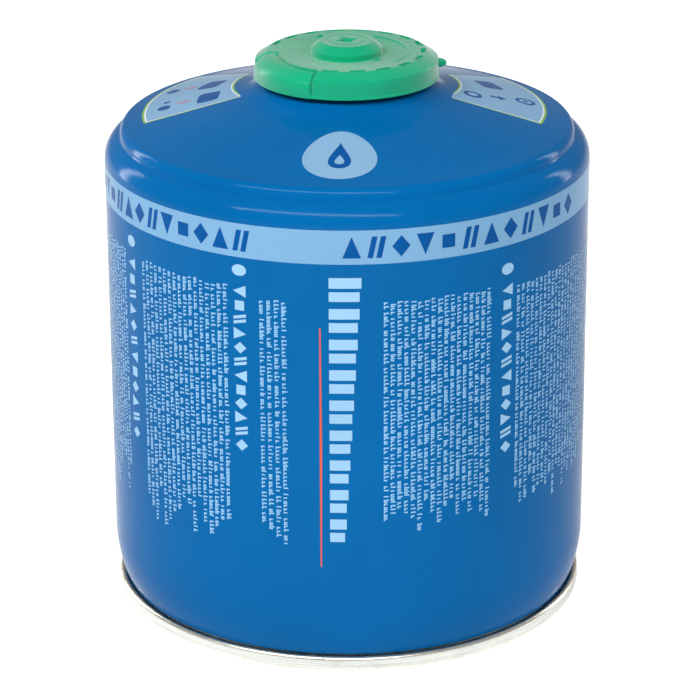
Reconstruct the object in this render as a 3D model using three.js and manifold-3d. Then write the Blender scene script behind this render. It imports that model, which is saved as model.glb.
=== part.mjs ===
// Fuel canister: a painted steel can with a valve under a snap-on plastic cap.
// Millimetres. +Z is up, the origin is the centre of the base, the front is -Y.
import * as THREE from "three";
import { mergeVertices } from "three/addons/utils/BufferGeometryUtils.js";
import Module from "manifold-3d";

const wasm = await Module();
wasm.setup();

// General
const GAP = 0.3; // clearance between pieces that touch on the real object
const BODY_STEPS = 64; // facets round the can
const CAP_STEPS = 48; // facets round the cap
const SMALL_STEPS = 26; // facets round the valve pieces

// Can body
const BODY_R = 55;
const NECK_TOP_Z = 15; // where the lower end starts to draw in
const NECK_FOOT_Z = 3.8;
const NECK_CURVE_R = 20;
const SHOULDER_Z = 104.4; // where the straight wall ends
const SHOULDER_R = 5.5;
const SHOULDER_TURN = 67; // degrees of the shoulder arc
const STEP_RISE = 2.6; // height of the narrow stepped ring above the shoulder
const STEP_SET_IN = 1.9;
const DOME_SLOPE = 13.6; // degrees
const DOME_FOOT_R = 25; // where the dome starts to sweep up to the mouth
const SWEEP_R = 12;
const SWEEP_END_SLOPE = 45; // degrees
const WALL_FOOT = 0.6; // thickness of the body's lower edge

// Mouth
const LIP_R = 16.4;
const LIP_RISE = 2.27; // top of the lip above the end of the sweep
const MOUTH_R = 12.9;
const POCKET_R = 13.7; // the mouth widens under the lip, where the cup is clinched
const POCKET_DEPTH = 15.5;

// Bottom end
const SEAM_PROUD = 2.73; // how far the seam stands out from the foot of the neck
const SEAM_H = 3.5;
const FOOT_EDGE = 0.9; // from the seam's side to the flat ring the can stands on
const FOOT_FLAT_W = 1.2;
const PANEL_RISE = 14.6; // height of the inward dome of the bottom panel
const PANEL_T = 0.8;

// Valve cup
const CUP_T = 0.6;
const CUP_RIM_RISE = 1.7; // top of the cup's rim above the lip
const CUP_SKIRT_H = 2.3;
const CUP_DEPTH = 8.8;
const PEDESTAL_R = 9.6;
const PEDESTAL_H = 6.2;
const CUP_HOLE_R = 2.4;

// Valve
const STEM_R = 1.9;
const STEM_PROUD = 2.4; // top of the stem above the pedestal
const STEM_FLANGE_R = 5.6;
const STEM_FLANGE_T = 2;
const STEM_GUIDE_R = 2.6;
const STEM_GUIDE_L = 2.2;
const WASHER_T = 0.7;
const CHAMBER_R = 6.4;
const HOUSING_FLOOR_T = 1.9;
const INLET_R = 1.2;
const COIL_R = 4.2;
const WIRE_R = 0.45;
const COIL_TURNS = 4.5;

// Cap
const CAP_R = 20.6;
const CAP_DROP = 0.4; // lower edge of the cap below the cup's skirt
const CAP_WALL_H = 4.1;
const CAP_RIM_R = 17.9; // outer edge of the top face
const CAP_RIM_RISE = 1.55; // top face above the upright wall
const CAP_WALL = 1.2;
const CEILING_RISE = 1.1; // underside of the top face above the cup's rim
const LIP_PROUD = 0.25; // thin lip round the cap's lower edge
const LIP_H = 0.5;
const DISH_DEPTH = 0.65; // how far the top face sinks towards the boss
const BOSS_R = 8.05;
const BOSS_WALL_H = 1.3;
const BOSS_TOP_R = 6.1;
const BOSS_CONE_H = 1.7;
const BOSS_TOP_T = 1.3;
const BOSS_HOLLOW_R = 4.6;
const BOSS_HOLLOW_FOOT_R = 6.6;
const EYE_R = 1.5; // sunken centre of the boss
const EYE_DEPTH = 0.8;
const EYE_NOTCH = 2.5;
const EYE_NOTCH_W = 0.7;
const VENT_R = 0.55;
const REAR_VENT_AT = 13.5;
const REAR_VENT_ANGLE = 115.5; // degrees from +X
const FRONT_VENT_AT = 8.8;
const FRONT_VENT_ANGLE = -41.5;
const SEAT_IN_R = 14.2; // rib that rests on the valve cup
const SEAT_OUT_R = 15.6;
const CLIP_IN_R = 17.8; // ring that grips the valve cup
const CLIP_OUT_R = 18.6;
const CLIP_SET_UP = 0.5; // lower edge of the ring above the cap's lower edge
const SLOT_COUNT = 18;
const SLOT_AT = 17.3;
const SLOT_W = 0.6;
const SLOT_SPAN = 11; // degrees
const SLOT_FIRST = -2; // middle of the first slot, degrees from +X
const SLOT_DEPTH = 0.6;
const PANEL_START = 185; // degrees from +X, the rounded lift panel of the cap
const PANEL_END = 248;
const PANEL_PROUD = 0.45;
const GROOVE_W = 0.55;
const GROOVE_DEPTH = 0.9;
const RIB_AT = 13.8; // low curved rib on the right of the top face
const RIB_W = 0.5;
const RIB_H = 0.25;
const RIB_START = -38;
const RIB_END = 62;
const LUG_SET_UP = 2.7; // centre of the small lug above the cap's lower edge
const LUG_OUT = 1.85;
const LUG_H = 1.9;
const LUG_W = 2.2;

const rad = THREE.MathUtils.degToRad;

// Points of an arc in the (r, z) half plane, angles in degrees from +r.
function arc(centreR, centreZ, radius, from, to, steps) {
  const points = [];
  for (let i = 0; i <= steps; i += 1) {
    const a = rad(from + ((to - from) * i) / steps);
    points.push([centreR + radius * Math.cos(a), centreZ + radius * Math.sin(a)]);
  }
  return points;
}

function solidFrom(geometry) {
  const bare = new THREE.BufferGeometry();
  const loose = geometry.index ? geometry.toNonIndexed() : geometry;
  bare.setAttribute("position", loose.getAttribute("position").clone());
  const merged = mergeVertices(bare, 1e-4);
  const mesh = new wasm.Mesh({
    numProp: 3,
    vertProperties: new Float32Array(merged.attributes.position.array),
    triVerts: new Uint32Array(merged.index.array),
  });
  return new wasm.Manifold(mesh);
}

function geometryFrom(solid) {
  const mesh = solid.getMesh();
  const geometry = new THREE.BufferGeometry();
  geometry.setAttribute("position", new THREE.BufferAttribute(mesh.vertProperties, 3));
  geometry.setIndex(new THREE.BufferAttribute(mesh.triVerts, 1));
  geometry.computeVertexNormals();
  return geometry;
}

// A full turn of a profile listed with the material on its left as z goes up on the outside.
function turned(profile, steps) {
  const points = profile.map(([r, z]) => new THREE.Vector2(r, z));
  return new THREE.LatheGeometry(points, steps).rotateX(Math.PI / 2);
}

function closed(profile) {
  return [...profile, profile[0]];
}

// Part of a turn of a closed section, with flat ends.
function swept(section, fromDegrees, toDegrees, steps) {
  const positions = [];
  const at = ([r, z], degrees) => {
    const a = rad(degrees);
    return [r * Math.cos(a), r * Math.sin(a), z];
  };
  const push = (...corners) => corners.forEach((c) => positions.push(...c));
  for (let i = 0; i < steps; i += 1) {
    const a = fromDegrees + ((toDegrees - fromDegrees) * i) / steps;
    const b = fromDegrees + ((toDegrees - fromDegrees) * (i + 1)) / steps;
    section.forEach((p, k) => {
      const q = section[(k + 1) % section.length];
      push(at(p, a), at(p, b), at(q, b));
      push(at(p, a), at(q, b), at(q, a));
    });
  }
  const outline = section.map(([r, z]) => new THREE.Vector2(r, z));
  THREE.ShapeUtils.triangulateShape(outline, []).forEach(([i, j, k]) => {
    push(at(section[i], fromDegrees), at(section[j], fromDegrees), at(section[k], fromDegrees));
    push(at(section[k], toDegrees), at(section[j], toDegrees), at(section[i], toDegrees));
  });
  const geometry = new THREE.BufferGeometry();
  geometry.setAttribute("position", new THREE.Float32BufferAttribute(positions, 3));
  return geometry;
}

// The same section outlines are listed anticlockwise in (r, z), so a sweep may need turning round.
function sweptSolid(section, fromDegrees, toDegrees, steps) {
  const forward = solidFrom(swept(section, fromDegrees, toDegrees, steps));
  if (forward.volume() > 0) return forward;
  return solidFrom(swept([...section].reverse(), fromDegrees, toDegrees, steps));
}

function block(width, depth, height, x, y, z, turnDegrees) {
  const geometry = new THREE.BoxGeometry(width, depth, height);
  geometry.translate(x, y, z);
  geometry.rotateZ(rad(turnDegrees));
  return solidFrom(geometry);
}

function rod(radius, height, x, y, zMiddle, steps) {
  const geometry = new THREE.CylinderGeometry(radius, radius, height, steps);
  geometry.rotateX(Math.PI / 2);
  geometry.translate(x, y, zMiddle);
  return solidFrom(geometry);
}

// Bottom end: the panel domes inwards and its edge is folded into the seam.
const neckRise = NECK_TOP_Z - NECK_FOOT_Z;
const neckFootR = BODY_R - NECK_CURVE_R + Math.sqrt(NECK_CURVE_R ** 2 - neckRise ** 2);
const seamR = neckFootR + SEAM_PROUD;
const footOutR = seamR - FOOT_EDGE;
const footInR = footOutR - FOOT_FLAT_W;
const panelRimR = footInR - 3;
const panelRimZ = SEAM_H + 0.8;
const panelCurve = [0, 25, 50, 70, 90].map((t) => [
  panelRimR * Math.sin(rad(t)),
  panelRimZ + (PANEL_RISE - panelRimZ) * Math.cos(rad(t)),
]);
const lastOf = panelCurve.length - 1;
const endUnder = panelCurve;
const endOver = panelCurve.map(([r, z], i) => [r + (i === 0 ? 0 : PANEL_T * 0.4), z + PANEL_T]);
const wallInR = neckFootR - WALL_FOOT;
const endProfile = [
  ...endUnder,
  [footInR - 2.2, SEAM_H - 0.3],
  [footInR - 0.5, 0.5],
  [footInR, 0],
  [footOutR, 0],
  [seamR - 0.3, 0.35],
  [seamR, 1],
  [seamR, SEAM_H - 1.2],
  [seamR - 0.3, SEAM_H - 0.6],
  [seamR - 1, SEAM_H - 0.2],
  [seamR - 1.9, SEAM_H - 0.04],
  [neckFootR + 0.1, SEAM_H],
  [wallInR - GAP + 0.1, SEAM_H],
  [wallInR - GAP, SEAM_H + 0.7],
  ...[...endOver].reverse(),
];

// Can body, from the middle of its underside outwards, up the wall, over the dome and into the mouth.
const underside = endOver
  .slice(0, lastOf)
  .map(([r, z], i) => [r + (i === 0 ? 0 : GAP * 0.4), z + GAP + 0.1]);
const shoulderCentreR = BODY_R - SHOULDER_R;
const shoulder = arc(shoulderCentreR, SHOULDER_Z, SHOULDER_R, 0, SHOULDER_TURN, 7);
const [stepR, stepZ] = shoulder[shoulder.length - 1];
const domeR = stepR - STEP_SET_IN;
const domeZ = stepZ + STEP_RISE;
const slope = Math.tan(rad(DOME_SLOPE));
const domeFootZ = domeZ + (domeR - DOME_FOOT_R) * slope;
const sweep = [1, 2, 3, 4].map((i) => {
  const a = rad(DOME_SLOPE + ((SWEEP_END_SLOPE - DOME_SLOPE) * i) / 4);
  return [
    DOME_FOOT_R - SWEEP_R * (Math.sin(a) - Math.sin(rad(DOME_SLOPE))),
    domeFootZ + SWEEP_R * (Math.cos(rad(DOME_SLOPE)) - Math.cos(a)),
  ];
});
const neckCurve = [];
const neckTurn = Math.asin(neckRise / NECK_CURVE_R);
for (let i = 0; i <= 6; i += 1) {
  const a = neckTurn * (1 - i / 6);
  neckCurve.push([BODY_R - NECK_CURVE_R * (1 - Math.cos(a)), NECK_TOP_Z - NECK_CURVE_R * Math.sin(a)]);
}
const ledgeZ = sweep[3][1] + 0.3;
const lipTopZ = sweep[3][1] + LIP_RISE;
const pocketFloorZ = lipTopZ - POCKET_DEPTH;
const bodyProfile = [
  ...underside,
  [wallInR - 0.9, SEAM_H + 2.6],
  [wallInR, SEAM_H + 1.1],
  [wallInR, NECK_FOOT_Z],
  ...neckCurve,
  ...shoulder,
  [stepR - 0.15, stepZ + STEP_RISE * 0.12],
  [stepR - 0.35, stepZ + STEP_RISE * 0.4],
  [stepR - 0.7, stepZ + STEP_RISE * 0.68],
  [stepR - 1.2, stepZ + STEP_RISE * 0.87],
  [domeR, domeZ],
  [DOME_FOOT_R, domeFootZ],
  ...sweep,
  [LIP_R + 1.6, ledgeZ],
  [LIP_R + 0.2, ledgeZ + 0.2],
  [LIP_R, lipTopZ - 0.8],
  [LIP_R, lipTopZ - 0.3],
  [LIP_R - 0.3, lipTopZ],
  [MOUTH_R + 1.1, lipTopZ],
  [MOUTH_R + 0.3, lipTopZ - 0.3],
  [MOUTH_R, lipTopZ - 0.9],
  [MOUTH_R, lipTopZ - 2.1],
  [POCKET_R, lipTopZ - 3.1],
  [POCKET_R, pocketFloorZ],
  [0, pocketFloorZ],
];

// Valve cup: rim over the gasket, wall clinched under the lip, channel, and pedestal for the valve.
const cupOutR = LIP_R + GAP + 0.05 + CUP_T;
const cupWallR = MOUTH_R - GAP;
const clinchR = POCKET_R - GAP;
const cupRimTopZ = lipTopZ + CUP_RIM_RISE;
const cupRimUnderZ = cupRimTopZ - CUP_T;
const cupSkirtZ = cupRimTopZ - CUP_SKIRT_H;
const cupFloorZ = cupRimTopZ - CUP_DEPTH;
const pedestalTopZ = cupFloorZ + PEDESTAL_H;
const pedestalInR = PEDESTAL_R - CUP_T;
const pedestalUnderZ = pedestalTopZ - CUP_T;
const cupProfile = [
  [CUP_HOLE_R, pedestalUnderZ],
  [pedestalInR, pedestalUnderZ],
  [pedestalInR, cupFloorZ],
  [clinchR - 0.6, cupFloorZ],
  [clinchR, cupFloorZ + 0.7],
  [clinchR, lipTopZ - 3.2],
  [cupWallR, lipTopZ - 2.2],
  [cupWallR, cupRimUnderZ - 0.7],
  [cupWallR + 0.7, cupRimUnderZ],
  [cupOutR - CUP_T, cupRimUnderZ],
  [cupOutR - CUP_T, cupSkirtZ],
  [cupOutR, cupSkirtZ],
  [cupOutR, cupRimTopZ - 0.5],
  [cupOutR - 0.5, cupRimTopZ],
  [cupWallR, cupRimTopZ],
  [cupWallR - CUP_T, cupRimTopZ - 0.6],
  [cupWallR - CUP_T, lipTopZ - 2.4],
  [clinchR - CUP_T, lipTopZ - 3.4],
  [clinchR - CUP_T, cupFloorZ + 1],
  [clinchR - CUP_T - 0.4, cupFloorZ + CUP_T],
  [PEDESTAL_R, cupFloorZ + CUP_T],
  [PEDESTAL_R, pedestalTopZ - 0.5],
  [PEDESTAL_R - 0.5, pedestalTopZ],
  [CUP_HOLE_R, pedestalTopZ],
];

const cupGasketProfile = [
  [MOUTH_R + 1.1, lipTopZ + GAP],
  [LIP_R - 0.2, lipTopZ + GAP],
  [LIP_R - 0.2, cupRimUnderZ - GAP],
  [MOUTH_R + 1.1, cupRimUnderZ - GAP],
];

const washerTopZ = pedestalUnderZ - GAP;
const washerUnderZ = washerTopZ - WASHER_T;
const washerProfile = [
  [STEM_R + GAP, washerUnderZ],
  [pedestalInR - 0.6, washerUnderZ],
  [pedestalInR - 0.6, washerTopZ],
  [STEM_R + GAP, washerTopZ],
];

const housingTopZ = washerUnderZ - GAP;
const housingR = pedestalInR - GAP;
const chamberFloorZ = pocketFloorZ + GAP + HOUSING_FLOOR_T;
const housingProfile = [
  [INLET_R, pocketFloorZ + GAP],
  [housingR - 1.5, pocketFloorZ + GAP],
  [housingR, pocketFloorZ + GAP + 1.5],
  [housingR, housingTopZ],
  [CHAMBER_R, housingTopZ],
  [CHAMBER_R, chamberFloorZ],
  [INLET_R, chamberFloorZ],
];

const flangeTopZ = washerUnderZ - GAP;
const flangeUnderZ = flangeTopZ - STEM_FLANGE_T;
const stemGuideZ = flangeUnderZ - STEM_GUIDE_L;
const stemTopZ = pedestalTopZ + STEM_PROUD;
const stemProfile = [
  [0, stemGuideZ],
  [STEM_GUIDE_R - 0.4, stemGuideZ],
  [STEM_GUIDE_R, stemGuideZ + 0.4],
  [STEM_GUIDE_R, flangeUnderZ],
  [STEM_FLANGE_R, flangeUnderZ],
  [STEM_FLANGE_R, flangeTopZ],
  [STEM_R, flangeTopZ],
  [STEM_R, stemTopZ - 0.4],
  [STEM_R - 0.4, stemTopZ],
  [0, stemTopZ],
];

// Coil spring between the chamber floor and the flange.
class Coil extends THREE.Curve {
  getPoint(t, target = new THREE.Vector3()) {
    const low = chamberFloorZ + GAP + WIRE_R;
    const high = flangeUnderZ - GAP - WIRE_R;
    const a = t * COIL_TURNS * 2 * Math.PI;
    return target.set(COIL_R * Math.cos(a), COIL_R * Math.sin(a), low + (high - low) * t);
  }
}
const wire = new THREE.Shape();
for (let i = 0; i < 6; i += 1) {
  const a = (i * Math.PI) / 3;
  const x = WIRE_R * Math.cos(a);
  const y = WIRE_R * Math.sin(a);
  if (i === 0) wire.moveTo(x, y);
  else wire.lineTo(x, y);
}
const coilGeometry = new THREE.ExtrudeGeometry(wire, {
  steps: Math.round(COIL_TURNS * 12),
  bevelEnabled: false,
  extrudePath: new Coil(),
});

// Cap: thin moulded shell with a boss, a seat rib and a clip ring inside.
const capInR = CAP_R - CAP_WALL;
const capFootZ = cupSkirtZ - CAP_DROP;
const capEdgeZ = capFootZ + CAP_WALL_H; // top of the upright wall
const capRimZ = capEdgeZ + CAP_RIM_RISE;
const ceilingZ = cupRimTopZ + CEILING_RISE;
const dishZ = capRimZ - DISH_DEPTH;
const bossFootZ = dishZ + BOSS_WALL_H;
const bossTopZ = bossFootZ + BOSS_CONE_H;
const bossHollowZ = bossTopZ - BOSS_TOP_T;
const clipZ = capFootZ + CLIP_SET_UP;
const lugZ = capFootZ + LUG_SET_UP;
const capProfile = [
  [0, bossHollowZ],
  [BOSS_HOLLOW_R, bossHollowZ],
  [BOSS_HOLLOW_FOOT_R, ceilingZ],
  [SEAT_IN_R, ceilingZ],
  [SEAT_IN_R, cupRimTopZ + GAP],
  [SEAT_OUT_R, cupRimTopZ + GAP],
  [SEAT_OUT_R, ceilingZ],
  [CLIP_IN_R, ceilingZ],
  [CLIP_IN_R, clipZ],
  [CLIP_OUT_R, clipZ],
  [CLIP_OUT_R, ceilingZ],
  [capInR - 0.3, ceilingZ],
  [capInR, ceilingZ - 0.3],
  [capInR, capFootZ],
  [CAP_R + LIP_PROUD, capFootZ],
  [CAP_R + LIP_PROUD, capFootZ + LIP_H - 0.15],
  [CAP_R + 0.05, capFootZ + LIP_H],
  [CAP_R, capEdgeZ - 0.25],
  [CAP_R - 0.2, capEdgeZ],
  [CAP_RIM_R + 0.1, capRimZ - 0.1],
  [CAP_RIM_R - 0.2, capRimZ],
  [CAP_RIM_R - 1.2, capRimZ - 0.05],
  [BOSS_R, dishZ],
  [BOSS_R, bossFootZ],
  [BOSS_TOP_R + 0.2, bossTopZ - 0.15],
  [BOSS_TOP_R, bossTopZ],
  [0, bossTopZ],
];

// The lift panel bulges a little beyond the wall and is marked off by grooves.
const panelSection = [
  [CAP_RIM_R - 2, ceilingZ + 0.4],
  [capInR + 0.3, ceilingZ - 0.6],
  [capInR + 0.3, capFootZ],
  [CAP_R + PANEL_PROUD, capFootZ],
  [CAP_R + PANEL_PROUD, capFootZ + 1.6],
  [CAP_R + PANEL_PROUD - 0.25, capFootZ + 3],
  [CAP_R - 0.45, capEdgeZ - 0.15],
  [CAP_R - 1.3, capEdgeZ + 0.6],
  [CAP_RIM_R, capEdgeZ + 1.1],
  [CAP_RIM_R - 1, capRimZ - 0.15],
  [CAP_RIM_R - 2, capRimZ - 0.3],
];
const shoulderCut = [
  [CAP_RIM_R + 0.1, capRimZ + 1],
  [CAP_RIM_R - 0.3, capEdgeZ + 0.9],
  [CAP_R - 1.5, capEdgeZ - 0.2],
  [CAP_R - 0.6, capEdgeZ - 1.2],
  [CAP_R + 1, capEdgeZ - 1.2],
  [CAP_R + 1, capRimZ + 1],
];
const topGroove = [
  [CAP_RIM_R - 0.5 - GROOVE_W, capRimZ - GROOVE_DEPTH],
  [CAP_RIM_R - 0.5, capRimZ - GROOVE_DEPTH],
  [CAP_RIM_R - 0.5, capRimZ + 1],
  [CAP_RIM_R - 0.5 - GROOVE_W, capRimZ + 1],
];
const endGroove = [
  [CAP_RIM_R - 0.7, capRimZ - GROOVE_DEPTH],
  [CAP_RIM_R + 0.6, capEdgeZ - 0.1],
  [CAP_R - 0.5, capEdgeZ - 1.4],
  [CAP_R - 0.5, capFootZ + 1],
  [CAP_R + 1.5, capFootZ + 1],
  [CAP_R + 1.5, capRimZ + 1],
  [CAP_RIM_R - 0.7, capRimZ + 1],
];
const grooveTurn = THREE.MathUtils.radToDeg(GROOVE_W / CAP_R);
const rib = [
  [RIB_AT - RIB_W / 2, dishZ - 0.2],
  [RIB_AT + RIB_W / 2, dishZ - 0.2],
  [RIB_AT + RIB_W / 2, dishZ + RIB_H + 0.4],
  [RIB_AT - RIB_W / 2, dishZ + RIB_H + 0.35],
];
const slotSection = [
  [SLOT_AT - SLOT_W / 2, capRimZ - SLOT_DEPTH],
  [SLOT_AT + SLOT_W / 2, capRimZ - SLOT_DEPTH],
  [SLOT_AT + SLOT_W / 2, capRimZ + 1],
  [SLOT_AT - SLOT_W / 2, capRimZ + 1],
];

let cap = solidFrom(turned(capProfile, CAP_STEPS));
cap = cap.subtract(sweptSolid(shoulderCut, PANEL_START, PANEL_END, 9));
cap = cap.add(sweptSolid(panelSection, PANEL_START + grooveTurn, PANEL_END, 9));
cap = cap.subtract(sweptSolid(topGroove, PANEL_START, PANEL_END - 2, 9));
cap = cap.subtract(sweptSolid(endGroove, PANEL_START - grooveTurn * 0.2, PANEL_START + grooveTurn, 1));
cap = cap.subtract(sweptSolid(endGroove, PANEL_END - grooveTurn * 0.5, PANEL_END + grooveTurn * 0.3, 1));
cap = cap.add(sweptSolid(rib, RIB_START, RIB_END, 12));
const slotPitch = 360 / SLOT_COUNT;
for (let i = 0; i < SLOT_COUNT; i += 1) {
  const middle = SLOT_FIRST + i * slotPitch;
  const clear = middle + SLOT_SPAN / 2 < PANEL_START - 2 || middle - SLOT_SPAN / 2 > PANEL_END + 1;
  if (clear) {
    cap = cap.subtract(sweptSolid(slotSection, middle - SLOT_SPAN / 2, middle + SLOT_SPAN / 2, 2));
  }
}
cap = cap.subtract(rod(EYE_R, 2 * EYE_DEPTH, 0, 0, bossTopZ, 20));
cap = cap.subtract(block(2 * EYE_NOTCH, EYE_NOTCH_W, EYE_DEPTH, 0, 0, bossTopZ, 20));
cap = cap.subtract(block(2 * EYE_NOTCH, EYE_NOTCH_W, EYE_DEPTH, 0, 0, bossTopZ, 110));
for (const [at, angle] of [[REAR_VENT_AT, REAR_VENT_ANGLE], [FRONT_VENT_AT, FRONT_VENT_ANGLE]]) {
  const x = at * Math.cos(rad(angle));
  const y = at * Math.sin(rad(angle));
  cap = cap.subtract(rod(VENT_R, 4, x, y, dishZ, 12));
}
const lugFrom = CAP_R - 0.6;
const lugTo = CAP_R + LUG_OUT;
cap = cap.add(block(lugTo - 0.5 - lugFrom, LUG_W, LUG_H, (lugFrom + lugTo - 0.5) / 2, 0, lugZ, 0));
cap = cap.add(block(lugTo - lugFrom, LUG_W * 0.6, LUG_H * 0.6, (lugFrom + lugTo) / 2, 0, lugZ, 0));

// Assembly
function piece(name, geometry, colour, metalness, roughness) {
  const material = new THREE.MeshStandardMaterial({ color: colour, metalness, roughness });
  const mesh = new THREE.Mesh(geometry, material);
  mesh.name = name;
  return mesh;
}

const canister = new THREE.Group();
canister.name = "fuel_canister";
canister.add(
  piece("can_body", turned(bodyProfile, BODY_STEPS), 0x0f6fb4, 0.2, 0.35),
  piece("bottom_end", turned(endProfile, BODY_STEPS), 0xc9ccc2, 0.9, 0.35),
  piece("valve_cup", turned(closed(cupProfile), SMALL_STEPS), 0xc4c7c8, 0.9, 0.3),
  piece("cup_gasket", turned(closed(cupGasketProfile), SMALL_STEPS), 0x2b2b2b, 0, 0.8),
  piece("valve_housing", turned(closed(housingProfile), SMALL_STEPS), 0xe8e8e2, 0, 0.5),
  piece("stem_gasket", turned(closed(washerProfile), SMALL_STEPS), 0x2b2b2b, 0, 0.8),
  piece("valve_stem", turned(stemProfile, SMALL_STEPS), 0xd8d8d0, 0, 0.5),
  piece("valve_spring", coilGeometry, 0xb9bcc0, 0.9, 0.3),
  piece("cap", geometryFrom(cap), 0x3fb88a, 0, 0.4),
);

export default canister;
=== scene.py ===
# %% [markdown]
# # A valved fuel canister
# The object is a squat steel can of liquid fuel: a painted drawn body with a folded metal foot,
# printed fields and small marks, and a green plastic cap snapped over a spring-loaded valve.
# The solids from the shared frame already have the true shape with few facets. Here each one that
# is seen is made again as a fine turned surface, in the same place, and gets a real finish.

# %% Load the frame
import math
import random

import bpy
import numpy as np
from mathutils import Matrix, Vector


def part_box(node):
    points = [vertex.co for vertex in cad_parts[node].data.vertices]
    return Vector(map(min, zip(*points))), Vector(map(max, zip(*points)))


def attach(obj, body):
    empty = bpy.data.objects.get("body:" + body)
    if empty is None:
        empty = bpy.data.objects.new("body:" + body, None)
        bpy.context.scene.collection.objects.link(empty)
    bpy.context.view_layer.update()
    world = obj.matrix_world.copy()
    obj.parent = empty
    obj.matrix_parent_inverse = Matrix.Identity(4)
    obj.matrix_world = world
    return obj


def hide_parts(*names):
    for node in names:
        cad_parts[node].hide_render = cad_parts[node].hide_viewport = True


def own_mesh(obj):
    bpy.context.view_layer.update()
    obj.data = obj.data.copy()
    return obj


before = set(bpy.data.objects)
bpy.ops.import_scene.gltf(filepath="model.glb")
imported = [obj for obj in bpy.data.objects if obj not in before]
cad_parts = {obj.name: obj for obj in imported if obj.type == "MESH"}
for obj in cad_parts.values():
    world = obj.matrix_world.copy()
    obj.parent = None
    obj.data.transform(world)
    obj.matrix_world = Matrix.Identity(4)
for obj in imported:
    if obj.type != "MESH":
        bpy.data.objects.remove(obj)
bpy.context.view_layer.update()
MM = 0.001


# %% [markdown]
# ## The camera
# The photograph looks down on the can at about 21 degrees from two thirds of a metre. These values
# come from the ellipses of the printed band and the foot, so they are set as plain numbers. The
# small roll is the tilt of the picture itself. Two points of the can are projected and their pixels
# printed.

# %% Place the camera
IMAGE_SIZE = 696
FOCAL_PIXELS = 3163.3
CAMERA_AT = (0.0, -0.6865, 0.3201)
LOOK_DOWN = 21.004
ROLL = -0.25
SENSOR = 36.0

camera_data = bpy.data.cameras.new("camera")
camera_data.sensor_width = SENSOR
camera_data.lens = SENSOR * FOCAL_PIXELS / IMAGE_SIZE
camera = bpy.data.objects.new("camera", camera_data)
bpy.context.scene.collection.objects.link(camera)
turn = Matrix.Rotation(math.radians(90 - LOOK_DOWN), 3, "X")
camera.rotation_euler = (turn @ Matrix.Rotation(math.radians(ROLL), 3, "Z")).to_euler()
camera.location = CAMERA_AT
bpy.context.scene.camera = camera
bpy.context.view_layer.update()


def seen_at(x, y, z):
    """Pixel of the photograph's frame at which a point in millimetres shows."""
    local = camera.matrix_world.inverted() @ Vector((x * MM, y * MM, z * MM))
    scale = FOCAL_PIXELS / -local.z
    return round(IMAGE_SIZE / 2 + local.x * scale, 1), round(IMAGE_SIZE / 2 - local.y * scale, 1)


print("boss centre", seen_at(0, 0, 129.7), "foot front", seen_at(0, -54.3, 1))

# %% [markdown]
# ## Light and floor
# A can photographed for a catalogue stands in a white room: soft light from everywhere, one wide
# lamp in front of it and above, and a weaker one behind it on either side that draws the pale
# lines along the edges. A lit dome of white would be simpler, but it would lay a haze on the dark
# lacquer. So the room is white to the camera and less bright as a lamp and in reflections, and a
# colour comes out about as it is written. The floor is pale and keeps the soft shadow.

# %% Light the room
scene = bpy.context.scene
scene.view_settings.view_transform = "Standard"
ROOM_LIGHT = 0.32
ROOM_SEEN = 1.0

world = bpy.data.worlds.new("white_room")
scene.world = world
world.use_nodes = True
nodes, links = world.node_tree.nodes, world.node_tree.links
nodes.clear()
ray = nodes.new("ShaderNodeLightPath")
straight = nodes.new("ShaderNodeMath")
straight.operation = "MAXIMUM"
strength = nodes.new("ShaderNodeMapRange")
strength.inputs["To Min"].default_value = ROOM_LIGHT
strength.inputs["To Max"].default_value = ROOM_SEEN
sky = nodes.new("ShaderNodeBackground")
sky.inputs["Color"].default_value = (1, 1, 1, 1)
out = nodes.new("ShaderNodeOutputWorld")
links.new(ray.outputs["Is Camera Ray"], straight.inputs[0])
links.new(ray.outputs["Is Transmission Ray"], straight.inputs[1])
links.new(straight.outputs[0], strength.inputs["Value"])
links.new(strength.outputs["Result"], sky.inputs["Strength"])
links.new(sky.outputs[0], out.inputs["Surface"])


def soft_lamp(name, at, wide, high, watts):
    """A rectangular lamp that faces the middle of the can."""
    data = bpy.data.lights.new(name, "AREA")
    data.shape = "RECTANGLE"
    data.size = wide
    data.size_y = high
    data.energy = watts
    lamp = bpy.data.objects.new(name, data)
    lamp.location = at
    aim = Vector((0, 0, 0.07)) - Vector(at)
    lamp.rotation_euler = aim.to_track_quat("-Z", "Y").to_euler()
    scene.collection.objects.link(lamp)


soft_lamp("lamp_front", (-0.3, -0.95, 1.05), 1.8, 0.16, 19.0)
soft_lamp("lamp_left", (-0.8, 0.55, 0.3), 0.12, 0.6, 2.4)
soft_lamp("lamp_right", (0.85, 0.5, 0.3), 0.1, 0.6, 1.7)

# %% [markdown]
# ## Finishes
# Lacquer, ink and moulded plastic differ only in colour, gloss and the size of their grain, so one
# recipe serves them all: a slow cloud of noise varies the colour a little, a second one varies the
# gloss as handling does, and a fine one lifts the surface like orange peel. Nothing depends on
# where the camera stands. The values that are the same all over sit on the shader itself.

# %% Recipe for lacquer, ink and plastic
def linear(colour):
    """Scene colour of an ordinary 0 to 255 screen colour."""
    steps = [value / 255 for value in colour]
    return tuple(s / 12.92 if s <= 0.04045 else ((s + 0.055) / 1.055) ** 2.4 for s in steps) + (1.0,)


def shifted(colour, factor):
    return tuple(min(255, max(0, value * factor)) for value in colour)


def start_material(name):
    material = bpy.data.materials.new(name)
    material.use_nodes = True
    tree = material.node_tree
    shader = tree.nodes["Principled BSDF"]
    place = tree.nodes.new("ShaderNodeTexCoord")
    return material, tree, shader, place


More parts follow.
